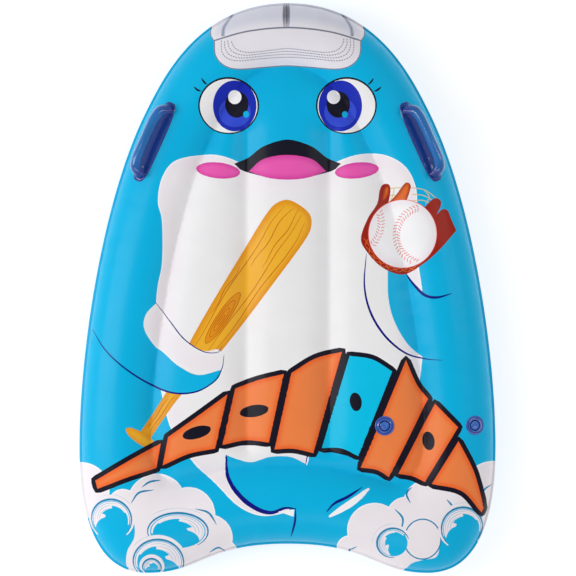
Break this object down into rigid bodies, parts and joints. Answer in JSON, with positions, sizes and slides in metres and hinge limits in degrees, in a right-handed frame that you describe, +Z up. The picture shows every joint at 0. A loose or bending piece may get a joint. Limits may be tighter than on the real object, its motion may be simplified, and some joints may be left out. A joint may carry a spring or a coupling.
{
  "type": "kickboard float",
  "caption": "Inflatable kickboard float: printed two-film body with an outer ring chamber and a core of three tubes, two grab handles, and a plug valve for each chamber.",
  "frame": {"origin": "centre of the float's plan outline, on the flat surface that it lies on", "axes": "+Z up through the thickness, towards the printed film; +Y towards the nose; +X to the side with the valves"},
  "size_m": [0.628, 0.86, 0.1193],
  "materials": {
    "printed_film": "gloss",
    "plain_film": "gloss",
    "clear_wall": "satin",
    "handle_vinyl": "gloss",
    "valve_vinyl": "gloss",
    "flap_vinyl": "satin"
  },
  "bodies": {
    "float_body": {"top_sheet": "printed_film", "bottom_sheet": "plain_film", "chamber_wall": "clear_wall", "right_beam": "clear_wall", "left_beam": "clear_wall", "right_handle_patch": "handle_vinyl", "left_handle_patch": "handle_vinyl", "ring_valve_base": "valve_vinyl", "ring_valve_boot": "valve_vinyl", "core_valve_base": "valve_vinyl", "core_valve_boot": "valve_vinyl"},
    "right_handle": {"right_grip": "handle_vinyl"},
    "left_handle": {"left_grip": "handle_vinyl"},
    "ring_stem": {"ring_valve_stem": "valve_vinyl", "ring_valve_strap": "valve_vinyl"},
    "ring_plug": {"ring_valve_plug": "valve_vinyl"},
    "ring_flap": {"ring_valve_flap": "flap_vinyl"},
    "core_stem": {"core_valve_stem": "valve_vinyl", "core_valve_strap": "valve_vinyl"},
    "core_plug": {"core_valve_plug": "valve_vinyl"},
    "core_flap": {"core_valve_flap": "flap_vinyl"}
  },
  "joints": [
    {"name": "right_grip_lift", "type": "hinge", "parent": "float_body", "child": "right_handle", "pos_m": [0.19694, 0.21772, 0.103], "axis": [0.4066, -0.9136, -0.0091], "range_deg": [-18, 60], "stiffness_Nm_per_rad": 0.5},
    {"name": "left_grip_lift", "type": "hinge", "parent": "float_body", "child": "left_handle", "pos_m": [-0.19694, 0.21772, 0.103], "axis": [0.4066, 0.9136, 0.0091], "range_deg": [-18, 60], "stiffness_Nm_per_rad": 0.5},
    {"name": "ring_stem_rise", "type": "slide", "parent": "float_body", "child": "ring_stem", "axis": [0.3364, 0.0074, 0.9417], "range_m": [0, 0.009], "deforming": ["ring_valve_boot"]},
    {"name": "ring_plug_pull", "type": "slide", "parent": "ring_stem", "child": "ring_plug", "axis": [0.3364, 0.0074, 0.9417], "range_m": [0, 0.012], "deforming": ["ring_valve_strap"]},
    {"name": "ring_flap_swing", "type": "hinge", "parent": "ring_stem", "child": "ring_flap", "pos_m": [0.2694, -0.20562, 0.07825], "axis": [0, 1, -0.0078], "range_deg": [0, 60], "stiffness_Nm_per_rad": 0.0002, "springref_deg": -11.46},
    {"name": "core_stem_rise", "type": "slide", "parent": "float_body", "child": "core_stem", "axis": [0.064, -0.0409, 0.9971], "range_m": [0, 0.009], "deforming": ["core_valve_boot"]},
    {"name": "core_plug_pull", "type": "slide", "parent": "core_stem", "child": "core_plug", "axis": [0.064, -0.0409, 0.9971], "range_m": [0, 0.012], "deforming": ["core_valve_strap"]},
    {"name": "core_flap_swing", "type": "hinge", "parent": "core_stem", "child": "core_flap", "pos_m": [0.13889, -0.2053, 0.07718], "axis": [0, 0.9992, 0.041], "range_deg": [0, 60], "stiffness_Nm_per_rad": 0.0002, "springref_deg": -11.46}
  ]
}
